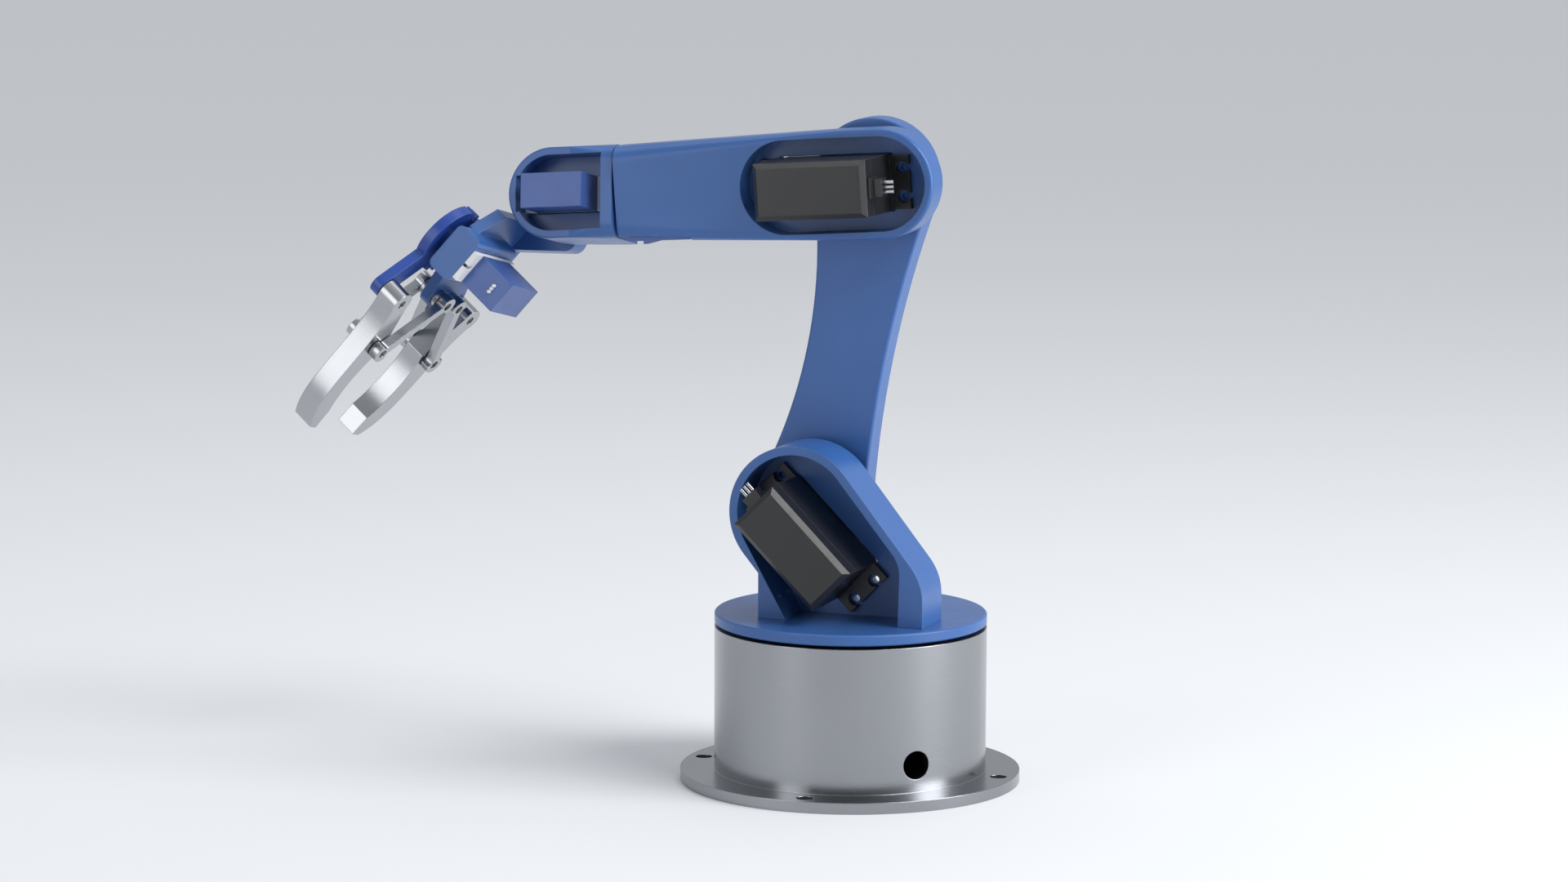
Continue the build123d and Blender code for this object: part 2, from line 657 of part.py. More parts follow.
# Upper arm with a waist between its two eyes, and a horn let into each eye
horn_depth = HORN_T + HORN_HUB_T
with BuildPart() as upper_arm:
    mid = UPPER_ARM_LENGTH / 2
    wrap_back = atan(4 * (UPPER_ARM_SHOULDER_R - UPPER_ARM_WAIST_BACK) / UPPER_ARM_LENGTH)
    wrap_front = atan(4 * (UPPER_ARM_SHOULDER_R - UPPER_ARM_WAIST_FRONT) / UPPER_ARM_LENGTH)
    low_r = UPPER_ARM_SHOULDER_R
    high_r = UPPER_ARM_ELBOW_R
    with BuildSketch(UPPER.offset(-UPPER_ARM_T)):
        with BuildLine():
            low_back = (low_r * cos(wrap_back), low_r * sin(wrap_back))
            low_front = (-low_r * cos(wrap_front), low_r * sin(wrap_front))
            high_back = (high_r * cos(wrap_back), UPPER_ARM_LENGTH - high_r * sin(wrap_back))
            high_front = (-high_r * cos(wrap_front), UPPER_ARM_LENGTH - high_r * sin(wrap_front))
            ThreePointArc(low_back, (UPPER_ARM_WAIST_BACK, mid), high_back)
            ThreePointArc(high_back, (0, UPPER_ARM_LENGTH + high_r), high_front)
            ThreePointArc(high_front, (-UPPER_ARM_WAIST_FRONT, mid), low_front)
            ThreePointArc(low_front, (0, -low_r), low_back)
        make_face()
    extrude(amount=UPPER_ARM_T)
    fillet(upper_arm.faces().filter_by(UPPER).edges(), UPPER_ARM_EDGE)
    eyes = [(0, 0), (0, UPPER_ARM_LENGTH)]
    with BuildSketch(UPPER):
        with Locations(*eyes):
            Circle(HORN_R)
    extrude(amount=-HORN_T, mode=Mode.SUBTRACT)
    with BuildSketch(UPPER):
        with Locations(*eyes):
            Circle(HORN_HUB_R)
    extrude(amount=-horn_depth, mode=Mode.SUBTRACT)
    with BuildSketch(UPPER):
        with Locations(*eyes):
            Circle(HORN_SCREW_R)
    extrude(amount=-UPPER_ARM_T, mode=Mode.SUBTRACT)
    with BuildSketch(UPPER.offset(-UPPER_ARM_T)):
        with Locations(*eyes):
            Circle(HORN_SCREW_HEAD_R)
    extrude(amount=HORN_SCREW_HEAD_T, mode=Mode.SUBTRACT)
save(upper_arm, "upper_arm")

horn_seat = UPPER_ARM_NEAR_Y - servo_bottom_y
servo_shaft(SHOULDER_SERVO, "shoulder_output_shaft")
servo_horn(SHOULDER_SERVO, "shoulder_horn", horn_seat, 1)
servo_shaft(ELBOW_SERVO, "elbow_output_shaft")
servo_horn(ELBOW_SERVO, "elbow_horn", horn_seat, 1)

with BuildPart() as horn_screws:
    shank = UPPER_ARM_T - HORN_SCREW_HEAD_T - (SERVO_SHAFT_TOP - horn_seat)
    with BuildSketch(UPPER.offset(-UPPER_ARM_T)):
        with Locations(*eyes):
            Circle(HORN_SCREW_HEAD_R)
    extrude(amount=HORN_SCREW_HEAD_T)
    with BuildSketch(UPPER.offset(HORN_SCREW_HEAD_T - UPPER_ARM_T)):
        with Locations(*eyes):
            Circle(HORN_SCREW_R)
    extrude(amount=shank)
save(horn_screws, "horn_screws")

# Forearm: a thin head round the elbow servo that swells towards the wrist
fore_floor = -(POCKET_FLOOR_Y - FOREARM_MID_Y)
window_left = FOREARM_WINDOW_INSET - servo_ear_reach
window_mid = (window_left + FOREARM_HEAD_OFFSET) / 2
window_length = FOREARM_HEAD_OFFSET - window_left
roll_top_x = forearm_front_x + ROLL_SERVO_RECESS
ROLL_SERVO = Plane(
    origin=FORE.from_local_coords((roll_top_x + MICRO_CASE_Z, 0, 0)),
    x_dir=-FORE.y_dir,
    z_dir=-FORE.x_dir,
)
with BuildPart() as forearm:
    with BuildSketch(FORE.offset(-FOREARM_HEAD_DEPTH / 2)):
        with Locations((FOREARM_HEAD_OFFSET, 0)):
            Circle(FOREARM_HEAD_R)
        with Locations(((FOREARM_HEAD_OFFSET + FOREARM_BLEND) / 2, 0)):
            Rectangle(FOREARM_HEAD_OFFSET - FOREARM_BLEND, 2 * FOREARM_HEAD_R)
    extrude(amount=FOREARM_HEAD_DEPTH)
    rim = [
        edge
        for edge in forearm.faces().filter_by(FORE).edges()
        if FORE.to_local_coords(edge.center()).X > FOREARM_BLEND + FOREARM_HEAD_EDGE
    ]
    fillet(rim, FOREARM_HEAD_EDGE)
    with BuildSketch(across(FORE, forearm_front_x)):
        RectangleRounded(FOREARM_FRONT_HEIGHT, FOREARM_FRONT_DEPTH, FOREARM_FRONT_EDGE)
    with BuildSketch(across(FORE, FOREARM_BLEND)):
        RectangleRounded(2 * FOREARM_HEAD_R, FOREARM_HEAD_DEPTH, FOREARM_HEAD_EDGE)
    loft(ruled=True)
    with BuildSketch(FORE.offset(fore_floor)):
        with Locations((window_mid, 0)):
            SlotCenterToCenter(window_length, 2 * FOREARM_WINDOW_R)
    extrude(amount=FOREARM_FRONT_DEPTH, mode=Mode.SUBTRACT)
    with BuildSketch(FORE.offset(-FOREARM_FRONT_DEPTH)):
        with Locations((-servo_mid, 0)):
            Rectangle(SERVO_L + 2 * SERVO_FIT, SERVO_W + 2 * SERVO_FIT)
            with GridLocations(servo_hole_span, SERVO_HOLE_SPACING, 2, 2):
                Circle(SERVO_SCREW_R)
    extrude(amount=FOREARM_FRONT_DEPTH, mode=Mode.SUBTRACT)
    with BuildSketch(ROLL_SERVO.offset(-SERVO_FIT)):
        micro_pocket()
        with Locations((MICRO_L - MICRO_SHAFT_INSET, 0)):
            Rectangle(FOREARM_HEAD_R, MICRO_W + 2 * SERVO_FIT)
    extrude(amount=MICRO_CASE_Z + ROLL_SERVO_RECESS + POCKET_MARGIN, mode=Mode.SUBTRACT)
    with BuildSketch(ROLL_SERVO.offset(MICRO_EAR_Z - SERVO_FIT)):
        micro_pocket(micro_ear_span)
    extrude(amount=MICRO_EAR_T + 2 * SERVO_FIT, mode=Mode.SUBTRACT)
save(forearm, "forearm")

servo_lower_case(ELBOW_SERVO, "elbow_servo_lower_case")
servo_middle_case(ELBOW_SERVO, "elbow_servo_middle_case")
servo_top_case(ELBOW_SERVO, "elbow_servo_top_case")
servo_lead_block(ELBOW_SERVO, "elbow_servo_lead_block")
pin_row(ELBOW_SERVO, "elbow_servo_pins", pin_x, pin_z, PIN_PITCH, PIN_R, PIN_OUT)
micro_lower_case(ROLL_SERVO, "roll_servo_lower_case")
micro_ear_plate(ROLL_SERVO, "roll_servo_ear_plate", ROLL_EAR_CLIP)
micro_top_case(ROLL_SERVO, "roll_servo_top_case")

# Yoke: a back block that meets the forearm and a rim round the wrist pitch servo
yoke_floor = PITCH_SERVO_OUT - MICRO_EAR_Z - MICRO_EAR_T
PITCH_SERVO = Plane(
    origin=WRIST.from_local_coords((0, 0, PITCH_SERVO_OUT)),
    x_dir=WRIST.x_dir,
    z_dir=-WRIST.z_dir,
)
ROLL_HORN = Plane(origin=ROLL_SERVO.origin, x_dir=WRIST.y_dir, z_dir=ROLL_SERVO.z_dir)
horn_plate_top = MICRO_TOWER_Z + BODY_GAP + MICRO_HORN_T
roll_horn_sink = horn_plate_top - MICRO_CASE_Z - ROLL_SERVO_RECESS - YOKE_GAP
rim_inner_r = YOKE_RIM_R - YOKE_RIM_WALL
pitch_horn_near = PITCH_SERVO_OUT - MICRO_TOWER_Z - BODY_GAP


def yoke_section(height, near, edge_r):
    """Section of the yoke: rounded on the side of the servo, square on the far side."""
    RectangleRounded(height, 2 * near, edge_r)
    with Locations((0, -YOKE_FAR / 2)):
        Rectangle(height, YOKE_FAR)


with BuildPart() as yoke:
    with BuildSketch(WRIST.offset(-YOKE_FAR)):
        with Locations((YOKE_RIM_OFFSET, 0)):
            Circle(YOKE_RIM_R)
        with Locations(((YOKE_RIM_OFFSET + YOKE_BLEND) / 2, 0)):
            Rectangle(YOKE_BLEND - YOKE_RIM_OFFSET, 2 * YOKE_RIM_R)
    extrude(amount=YOKE_NEAR + YOKE_FAR)
    rim = [
        edge
        for edge in yoke.faces().filter_by(WRIST).edges()
        if WRIST.to_local_coords(edge.center()).X < YOKE_BLEND - YOKE_EDGE
    ]
    fillet(rim, YOKE_EDGE)
    with BuildSketch(across(WRIST, YOKE_BLEND)):
        yoke_section(2 * YOKE_RIM_R, YOKE_NEAR, YOKE_EDGE)
    with BuildSketch(across(WRIST, yoke_inner_x)):
        yoke_section(FOREARM_FRONT_HEIGHT, FOREARM_FRONT_DEPTH / 2, FOREARM_FRONT_EDGE)
    loft(ruled=True)
    with BuildSketch(across(WRIST, yoke_inner_x)):
        yoke_section(FOREARM_FRONT_HEIGHT, FOREARM_FRONT_DEPTH / 2, FOREARM_FRONT_EDGE)
    extrude(amount=YOKE_BACK_T)
    with BuildSketch(WRIST.offset(yoke_floor)):
        with Locations((YOKE_RIM_OFFSET, 0)):
            Circle(rim_inner_r)
        with Locations(((YOKE_RIM_OFFSET + yoke_inner_x) / 2, 0)):
            Rectangle(yoke_inner_x - YOKE_RIM_OFFSET, 2 * rim_inner_r)
        micro_pocket(micro_ear_span)
    extrude(amount=FOREARM_FRONT_DEPTH, mode=Mode.SUBTRACT)
    with BuildSketch(WRIST.offset(-YOKE_FAR)):
        micro_pocket()
        micro_ear_holes()
    extrude(amount=YOKE_FAR, mode=Mode.SUBTRACT)
    with BuildSketch(WRIST.offset(-YOKE_FAR)):
        Circle(WEB_BOSS_R + WEB_GAP)
    extrude(amount=YOKE_FAR + pitch_horn_near + WEB_GAP, mode=Mode.SUBTRACT)
    with BuildSketch(across(WRIST, yoke_back_x)):
        Circle(MICRO_HORN_R)
        SlotOverall(MICRO_HORN_SPAN, 2 * MICRO_HORN_END_R)
    extrude(amount=-roll_horn_sink, mode=Mode.SUBTRACT)
    with BuildSketch(across(WRIST, yoke_back_x)):
        Circle(MICRO_HORN_R)
    extrude(amount=-YOKE_BACK_T, mode=Mode.SUBTRACT)
save(yoke, "yoke")

micro_shaft(ROLL_SERVO, "roll_output_shaft")
micro_horn(ROLL_HORN, "roll_horn")
micro_lower_case(PITCH_SERVO, "pitch_servo_lower_case")
micro_ear_plate(PITCH_SERVO, "pitch_servo_ear_plate")
micro_top_case(PITCH_SERVO, "pitch_servo_top_case")
micro_pins(PITCH_SERVO, "pitch_servo_pins")

# Gripper base: block with the gripper servo, nose for the links and web to the pitch axis
finger_half = FINGER_T / 2
block_far = -NOSE_T / 2
block_near = GRIP_SERVO_Z - MICRO_EAR_Z - MICRO_EAR_T
block_t = block_near - block_far
web_near = -YOKE_FAR - WEB_GAP
web_far = web_near - WEB_T
block_mid_x = (BLOCK_LEFT + BLOCK_RIGHT) / 2
block_mid_y = (BLOCK_BACK + BLOCK_FRONT) / 2
GRIP_SERVO = Plane(
    origin=GRIP.from_local_coords((GEAR_PITCH_R, 0, GRIP_SERVO_Z)),
    x_dir=-GRIP.x_dir,
    z_dir=-GRIP.z_dir,
)
PITCH_HORN = Plane(origin=PITCH_SERVO.origin, x_dir=forward, z_dir=PITCH_SERVO.z_dir)
nose_root_y = BLOCK_FRONT - BLOCK_EDGE
with BuildPart() as gripper_base:
    with BuildSketch(GRIP.offset(block_far)):
        with Locations((block_mid_x, block_mid_y)):
            Rectangle(BLOCK_RIGHT - BLOCK_LEFT, BLOCK_FRONT - BLOCK_BACK)
    extrude(amount=block_t)
    fillet(gripper_base.edges().filter_by(Axis(GRIP.origin, GRIP.x_dir)), BLOCK_EDGE)
    with BuildSketch(GRIP.offset(block_far)):
        with BuildLine():
            Polyline(
                (web_far, BLOCK_FRONT),
                (BLOCK_LEFT + BLOCK_EDGE, BLOCK_FRONT),
                (BLOCK_LEFT + BLOCK_EDGE, block_mid_y),
                (SHOULDER_RIGHT, BLOCK_BACK + BLOCK_EDGE),
                (SHOULDER_RIGHT, BLOCK_BACK),
                (SHOULDER_CORNER, SHOULDER_BACK),
                (web_far, SHOULDER_BACK),
                close=True,
            )
        make_face()
    extrude(amount=TAIL_T)
    web_foot = PITCH_AXIS_TO_GEARS + WEB_ROOT_Y
    block_low = block_far - PITCH_AXIS_ABOVE_FINGERS
    with BuildSketch(WEB.offset(web_far)):
        Circle(WEB_BOSS_R)
        with Locations((WEB_CORNER_X, WEB_CORNER_Y)):
            Circle(WEB_CORNER_R)
        with BuildLine():
            Line((web_foot, block_low), (web_foot, block_low + TAIL_T))
        make_hull()
    extrude(amount=WEB_T)
    with BuildSketch(WEB.offset(web_near)):
        Circle(WEB_BOSS_R)
    extrude(amount=pitch_horn_near - web_near)
    with BuildSketch(GRIP.offset(block_far)):
        with Locations((NOSE_PIVOT_X, NOSE_PIVOT_Y), (-NOSE_PIVOT_X, NOSE_PIVOT_Y)):
            Circle(NOSE_TIP_R)
        with BuildLine():
            Line((-NOSE_ROOT_W / 2, nose_root_y), (NOSE_ROOT_W / 2, nose_root_y))
        make_hull()
    extrude(amount=NOSE_T)
    with BuildSketch(GRIP.offset(block_far)):
        with Locations((NOSE_PIVOT_X, NOSE_PIVOT_Y), (-NOSE_PIVOT_X, NOSE_PIVOT_Y)):
            Circle(HINGE_PIN_R)
    extrude(amount=NOSE_T, mode=Mode.SUBTRACT)
    with BuildSketch(GRIP_SERVO.offset(MICRO_EAR_Z)):
        micro_pocket()
        micro_ear_holes()
    extrude(amount=MICRO_CASE_Z - MICRO_EAR_Z + BODY_GAP, mode=Mode.SUBTRACT)
    with BuildSketch(GRIP_SERVO.offset(MICRO_CASE_Z)):
        Circle(MICRO_TOWER_R + SERVO_FIT)
        with Locations((MICRO_GEAR_BUMP_X, 0)):
            Circle(MICRO_GEAR_BUMP_R + SERVO_FIT)
    extrude(amount=block_t, mode=Mode.SUBTRACT)
    with BuildSketch(GRIP.offset(block_far)):
        with Locations((-GEAR_PITCH_R, 0)):
            Circle(DRIVEN_PIN_R)
    extrude(amount=DRIVEN_PIN_SINK, mode=Mode.SUBTRACT)
    with BuildSketch(WEB.offset(pitch_horn_near)):
        Circle(MICRO_HORN_R)
        SlotOverall(MICRO_HORN_SPAN, 2 * MICRO_HORN_END_R)
    extrude(amount=-MICRO_HORN_T, mode=Mode.SUBTRACT)
    with BuildSketch(WEB.offset(pitch_horn_near)):
        Circle(MICRO_HORN_R)
    extrude(amount=-MICRO_HORN_T - MICRO_HORN_HUB_T, mode=Mode.SUBTRACT)
save(gripper_base, "gripper_base")

micro_shaft(PITCH_SERVO, "pitch_output_shaft")
micro_horn(PITCH_HORN, "pitch_horn")
micro_lower_case(GRIP_SERVO, "grip_servo_lower_case")
micro_ear_plate(GRIP_SERVO, "grip_servo_ear_plate")
micro_top_case(GRIP_SERVO, "grip_servo_top_case")
micro_pins(GRIP_SERVO, "grip_servo_pins")

# Linkage places, in the frame of the gripper with the drive side at +X
spread = radians(ARM_SPREAD)
arm_x = ARM_LENGTH * sin(spread)
arm_y = ARM_LENGTH * cos(spread)
rear_x = GEAR_PITCH_R + arm_x
rear_y = arm_y
front_x = NOSE_PIVOT_X + arm_x
front_y = NOSE_PIVOT_Y + arm_y
gear_module = 2 * GEAR_PITCH_R / GEAR_TEETH
tooth_step = 2 * pi / GEAR_TEETH
gear_root_r = GEAR_PITCH_R - TOOTH_DEDENDUM * gear_module
gear_near = -finger_half - GEAR_GAP
gear_far = gear_near - GEAR_T
link_near = finger_half + BODY_GAP


def involute(angle):
    """Point on the flank's involute, unrolled from the base circle by an angle."""
    base_r = GEAR_PITCH_R * cos(radians(GEAR_PRESSURE_ANGLE))
    return base_r * sqrt(1 + angle * angle), angle - atan(angle)


def gear_outline(centre_x, first):
    """Closed outline of a gear segment whose first tooth stands at the angle first."""
    base_r = GEAR_PITCH_R * cos(radians(GEAR_PRESSURE_ANGLE))
    tip_r = GEAR_PITCH_R + TOOTH_ADDENDUM * gear_module
    _, at_pitch = involute(tan(radians(GEAR_PRESSURE_ANGLE)))
    half = pi / (2 * GEAR_TEETH) + at_pitch - GEAR_BACKLASH / (2 * GEAR_PITCH_R)
    tip_roll = sqrt((tip_r / base_r) ** 2 - 1)
    flank = [involute(tip_roll * part / 3) for part in range(4)]
    last = first + (TOOTH_COUNT - 1) * tooth_step

    def at(radius, angle):
        return (centre_x + radius * cos(angle), radius * sin(angle))

    def root_arc(start, end):
        ThreePointArc(
            at(gear_root_r, start), at(gear_root_r, (start + end) / 2), at(gear_root_r, end)
        )

    for tooth in range(TOOTH_COUNT):
        middle = first + tooth * tooth_step
        rising = [at(radius, middle - half + turn) for radius, turn in flank]
        falling = [at(radius, middle + half - turn) for radius, turn in reversed(flank)]
        Line(at(gear_root_r, middle - half), rising[0])
        Spline(*rising)
        ThreePointArc(rising[-1], at(tip_r, middle), falling[0])
        Spline(*falling)
        Line(falling[-1], at(gear_root_r, middle + half))
        if tooth < TOOTH_COUNT - 1:
            root_arc(middle + half, middle + tooth_step - half)
    rim_start = last + tooth_step / 2
    rim_end = first - tooth_step / 2 + 2 * pi
    root_arc(last + half, rim_start)
    Line(at(gear_root_r, rim_start), at(GEAR_RIM_R, rim_start))
    rim_middle = (rim_start + rim_end) / 2
    ThreePointArc(at(GEAR_RIM_R, rim_start), at(GEAR_RIM_R, rim_middle), at(GEAR_RIM_R, rim_end))
    Line(at(GEAR_RIM_R, rim_end), at(gear_root_r, rim_end))
    root_arc(rim_end, first - half + 2 * pi)


def gear_arm(side, name, bore_r, tooth_shift):
    """Gear segment and arm in one plate. side is +1 for the drive side and -1 for the other."""
    inward = pi if side > 0 else 0.0
    centre_x = side * GEAR_PITCH_R
    first = inward + (tooth_shift - (TOOTH_COUNT - 1) / 2) * tooth_step
    with BuildPart() as gear:
        with BuildSketch(GRIP.offset(gear_far)):
            with BuildLine():
                gear_outline(centre_x, first)
            make_face()
            with BuildLine():
                offset_x = ARM_W / 2 * cos(spread)
                offset_y = ARM_W / 2 * sin(spread)
                Polyline(
                    (centre_x + side * offset_x, -offset_y),
                    (side * (rear_x + offset_x), rear_y - offset_y),
                    (side * (rear_x - offset_x), rear_y + offset_y),
                    (centre_x - side * offset_x, offset_y),
                    close=True,
                )
            make_face()
            with Locations((side * rear_x, rear_y)):
                Circle(ARM_W / 2)
        extrude(amount=GEAR_T)
        hub_t = block_far - BODY_GAP - gear_near
        with BuildSketch(GRIP.offset(gear_near)):
            with Locations((centre_x, 0)):
                Circle(GEAR_HUB_R)
        extrude(amount=hub_t)
        with BuildSketch(GRIP.offset(gear_far)):
            with Locations((centre_x, 0)):
                Circle(bore_r)
            with Locations((side * rear_x, rear_y)):
                Circle(HINGE_PIN_R)
        extrude(amount=GEAR_T + hub_t, mode=Mode.SUBTRACT)
    save(gear, name)


def grip_link(side, name, low):
    """Link between the nose and a finger, its lower face at the height low."""
    with BuildPart() as link:
        with BuildSketch(GRIP.offset(low)):
            with BuildLine():
                middle = Line((side * NOSE_PIVOT_X, NOSE_PIVOT_Y), (side * front_x, front_y))
            hollow_w = LINK_W - LINK_BAR_W
            with Locations(Location(middle @ 0.5, 90 - side * ARM_SPREAD)):
                SlotCenterToCenter(middle.length, LINK_W)
                with Locations((0, LINK_W / 2), (0, -LINK_W / 2)):
                    SlotCenterToCenter(
                        middle.length - 2 * LINK_NECK, hollow_w, mode=Mode.SUBTRACT
                    )
            with Locations(middle @ 0, middle @ 1):
                Circle(HINGE_PIN_R + RUNNING_FIT, mode=Mode.SUBTRACT)
        extrude(amount=LINK_T)
    save(link, name)


def finger(side, name):
    """Finger blade: a broad root with two hinge eyes, and a slim flat tip."""
    with BuildPart() as blade:
        with BuildSketch(GRIP.offset(-finger_half)):
            with BuildLine():
                kink = (side * FINGER_KINK_X, FINGER_KINK_Y)
                pad = (side * FINGER_PAD_X, FINGER_PAD_Y)
                tip_outer = (side * FINGER_TIP_OUTER, FINGER_TIP_Y)
                eye_outer = (side * (rear_x + FINGER_EYE_R), rear_y)
                eye_inner = (side * (rear_x - FINGER_EYE_R), rear_y)
                Line(eye_inner, kink)
                Spline(kink, (side * FINGER_HOLLOW_X, FINGER_HOLLOW_Y), pad)
                Polyline(pad, (side * FINGER_TIP_INNER, FINGER_TIP_Y), tip_outer)
                Spline(
                    tip_outer,
                    (side * FINGER_BROW_X, FINGER_BROW_Y),
                    (side * FINGER_BACK_X, FINGER_BACK_Y),
                    (side * FINGER_HIP_X, FINGER_HIP_Y),
                    eye_outer,
                )
                Line(eye_outer, eye_inner)
            make_face()
            with Locations((side * rear_x, rear_y)):
                Circle(FINGER_EYE_R)
            with Locations((side * front_x, front_y)):
                Circle(HINGE_PIN_R, mode=Mode.SUBTRACT)
            with Locations((side * rear_x, rear_y)):
                Circle(HINGE_PIN_R + RUNNING_FIT, mode=Mode.SUBTRACT)
        extrude(amount=FINGER_T)
    save(blade, name)


def hinge_pin(name, places, low, high, radius=HINGE_PIN_R):
    with BuildPart() as pin:
        with BuildSketch(GRIP.offset(low)):
            with Locations(*places):
                Circle(radius)
        extrude(amount=high - low)
    save(pin, name)


gear_reach = GRIP_SERVO_Z - MICRO_TOWER_Z - gear_near + GEAR_T / 2
micro_shaft(GRIP_SERVO, "grip_output_shaft", gear_reach)
gear_arm(1, "drive_gear_arm", MICRO_SHAFT_R, 0.0)
gear_arm(-1, "driven_gear_arm", DRIVEN_PIN_R + RUNNING_FIT, 0.5)
driven_top = block_far + DRIVEN_PIN_SINK
hinge_pin("driven_gear_pin", [(-GEAR_PITCH_R, 0)], gear_far, driven_top, DRIVEN_PIN_R)

link_far = -link_near - LINK_T
for side_name, side in (("drive", 1), ("driven", -1)):
    grip_link(side, f"{side_name}_link_front", link_near)
    grip_link(side, f"{side_name}_link_back", link_far)
    finger(side, f"{side_name}_finger")
    front_place = (side * front_x, front_y)
    rear_place = (side * rear_x, rear_y)
    pin_end = link_near + LINK_T - PIN_RECESS
    hinge_pin(f"{side_name}_front_pin", [front_place], -pin_end, pin_end)
    hinge_pin(f"{side_name}_rear_pin", [rear_place], gear_far, finger_half - PIN_RECESS)

nose_places = [(NOSE_PIVOT_X, NOSE_PIVOT_Y), (-NOSE_PIVOT_X, NOSE_PIVOT_Y)]
hinge_pin("nose_pins", nose_places, -pin_end, pin_end)

# Bushes that space the links off both faces of the nose
with BuildPart() as nose_bushes:
    bush_t = link_near - BODY_GAP - NOSE_T / 2
    for low in (NOSE_T / 2, -NOSE_T / 2 - bush_t):
        with BuildSketch(GRIP.offset(low)):
            with Locations(*nose_places):
                Circle(BUSH_R)
                Circle(HINGE_PIN_R, mode=Mode.SUBTRACT)
        extrude(amount=bush_t)
save(nose_bushes, "nose_bushes")
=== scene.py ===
import json
import math

import bpy
from mathutils import Matrix, Vector

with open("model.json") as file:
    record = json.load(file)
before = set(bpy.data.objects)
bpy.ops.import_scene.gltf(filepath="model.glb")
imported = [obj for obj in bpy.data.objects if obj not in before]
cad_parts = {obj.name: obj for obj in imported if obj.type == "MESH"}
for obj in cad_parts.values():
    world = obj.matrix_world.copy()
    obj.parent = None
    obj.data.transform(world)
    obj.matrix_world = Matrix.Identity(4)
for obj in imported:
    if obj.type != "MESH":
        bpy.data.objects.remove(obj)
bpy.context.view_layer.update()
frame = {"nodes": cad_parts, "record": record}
nodes = frame["nodes"]

# Pose of the wrist in the photo, in degrees
FOREARM_DROP = 4.0
WRIST_ROLL = 11.9
WRIST_PITCH = 46.35

# Edge radii in metres, grain in cells per metre
METAL_EDGE = 0.0004
PAINT_EDGE = 0.00045
PLASTIC_EDGE = 0.00035
TURNED_GRAIN = 3600.0
CROSS_GRAIN = 2600.0
LONG_GRAIN = 50.0
STEEL_GRAIN = 1500.0
EDGE_GAIN = 3.0
EDGE_SAMPLES = 6

# Share of the full range that most of a noise value lies in
NOISE_RANGE = (0.3, 0.7)

# Camera, fitted to the photo's view
CAMERA_AZIMUTH = 19.69
CAMERA_ELEVATION = 8.35
CAMERA_ROLL = 0.24
CAMERA_DISTANCE = 1.715
CAMERA_TARGET = (-0.02524, 0.0, 0.11907)
CAMERA_LENS = 111.75
CAMERA_SENSOR = 36.0
CAMERA_CLIP = (0.05, 200.0)

# Studio
FLOOR_HALF = 40.0
FLOOR_COLOUR = (0.74, 0.75, 0.77, 1.0)
FLOOR_ROUGHNESS = 0.85
FLOOR_GLOSS = 0.15
LIT_POINT = (-0.03, 0.0, 0.12)
SKY_COLOUR = (0.93, 0.96, 1.0, 1.0)
SKY_UP = (-0.15, 0.60, 0.78)
SKY_RANGE = (-0.65, 0.45)
SKY_STRENGTH = (0.10, 0.54)


# Node helpers
def new_material(name):
    mat = bpy.data.materials.new(name)
    mat.use_nodes = True
    tree = mat.node_tree
    tree.nodes.clear()
    shader = tree.nodes.new("ShaderNodeBsdfPrincipled")
    output = tree.nodes.new("ShaderNodeOutputMaterial")
    tree.links.new(shader.outputs["BSDF"], output.inputs["Surface"])
    return mat, tree, shader


def place(tree):
    """A point on the part in its own rest frame, in metres."""
    return tree.nodes.new("ShaderNodeTexCoord").outputs["Object"]


def math_node(tree, operation, first, second=None):
    node = tree.nodes.new("ShaderNodeMath")
    node.operation = operation
    for socket, value in zip(node.inputs, (first, second)):
        if value is None:
            continue
        if isinstance(value, (int, float)):
            socket.default_value = value
        else:
            tree.links.new(value, socket)
    return node.outputs[0]


def noise(tree, vector, scale, detail=2.0, roughness=0.5):
    node = tree.nodes.new("ShaderNodeTexNoise")
    node.inputs["Scale"].default_value = scale
    node.inputs["Detail"].default_value = detail
    node.inputs["Roughness"].default_value = roughness
    tree.links.new(vector, node.inputs["Vector"])
    return node.outputs["Fac"]


def spread(tree, value, low, high):
    """Stretches a noise value's usual range over low to high."""
    node = tree.nodes.new("ShaderNodeMapRange")
    node.inputs["From Min"].default_value = NOISE_RANGE[0]
    node.inputs["From Max"].default_value = NOISE_RANGE[1]
    node.inputs["To Min"].default_value = low
    node.inputs["To Max"].default_value = high
    tree.links.new(value, node.inputs["Value"])
    return node.outputs["Result"]


def rounded(tree, radius):
    node = tree.nodes.new("ShaderNodeBevel")
    node.samples = EDGE_SAMPLES
    node.inputs["Radius"].default_value = radius
    return node.outputs["Normal"]


def edge_mask(tree, soft_normal, gain):
    """0 on flats, rising to 1 where the rounded normal leaves the true one."""
    geometry = tree.nodes.new("ShaderNodeNewGeometry")
    dot = tree.nodes.new("ShaderNodeVectorMath")
    dot.operation = "DOT_PRODUCT"
    tree.links.new(soft_normal, dot.inputs[0])
    tree.links.new(geometry.outputs["Normal"], dot.inputs[1])
    gap = math_node(tree, "SUBTRACT", 1.0, dot.outputs["Value"])
    scaled = math_node(tree, "MULTIPLY", gap, gain)
    capped = math_node(tree, "MINIMUM", scaled, 1.0)
    return math_node(tree, "MAXIMUM", capped, 0.0)


